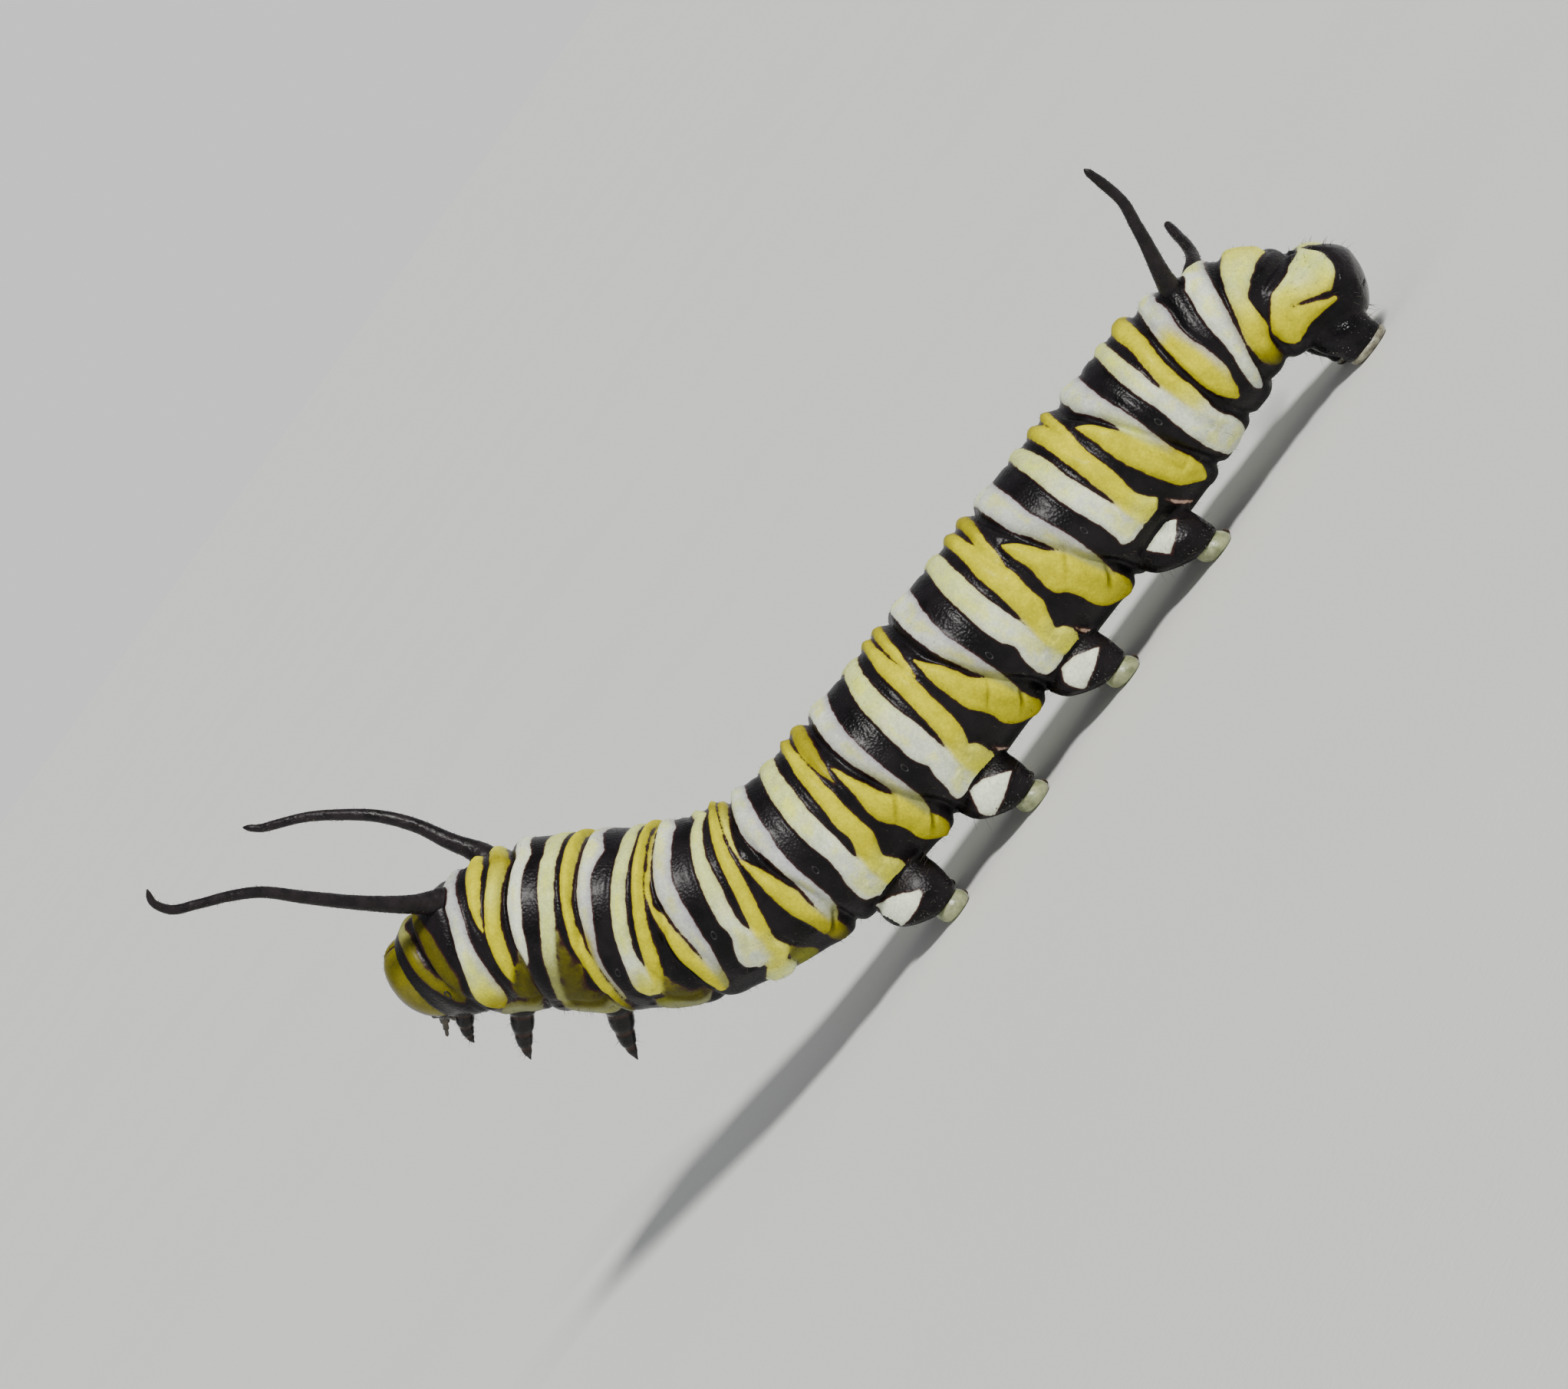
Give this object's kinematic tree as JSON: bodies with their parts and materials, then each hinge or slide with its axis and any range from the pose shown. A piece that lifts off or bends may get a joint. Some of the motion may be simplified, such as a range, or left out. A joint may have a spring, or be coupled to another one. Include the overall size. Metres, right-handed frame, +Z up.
{
  "type": "monarch larva",
  "caption": "Still life-size model of a monarch butterfly larva, banded black, white and yellow, its front half raised over its prolegs.",
  "frame": {"origin": "on the floor under the middle of the whole larva, filaments included", "axes": "+X along the body from the head to the tail, +Y from its left side to its right side, +Z up from the floor"},
  "size_m": [0.042, 0.0122, 0.0228],
  "materials": {
    "larva_skin": "smooth satin skin in yellow, white and black bands",
    "head_capsule": "hard glossy capsule with black stripes on yellow",
    "filament": "matt granular black",
    "leg": "glossy black",
    "proleg": "black with a white patch on the outer face"
  },
  "bodies": {
    "root": {"head": "head_capsule", "prothorax": "larva_skin", "mesothorax": "larva_skin", "metathorax": "larva_skin", "abdomen_1": "larva_skin", "abdomen_2": "larva_skin", "abdomen_3": "larva_skin", "abdomen_4": "larva_skin", "abdomen_5": "larva_skin", "abdomen_6": "larva_skin", "abdomen_7": "larva_skin", "abdomen_8": "larva_skin", "abdomen_9": "larva_skin", "abdomen_10": "larva_skin", "front_filament_left_root": "filament", "front_filament_left_tip": "filament", "front_filament_right_root": "filament", "front_filament_right_tip": "filament", "rear_filament_left": "filament", "rear_filament_right": "filament", "foreleg_left": "leg", "foreleg_right": "leg", "midleg_left": "leg", "midleg_right": "leg", "hindleg_left": "leg", "hindleg_right": "leg", "proleg_3_left": "proleg", "proleg_3_right": "proleg", "proleg_4_left": "proleg", "proleg_4_right": "proleg", "proleg_5_left": "proleg", "proleg_5_right": "proleg", "proleg_6_left": "proleg", "proleg_6_right": "proleg", "anal_proleg_left": "proleg", "anal_proleg_right": "proleg"}
  },
  "joints": []
}
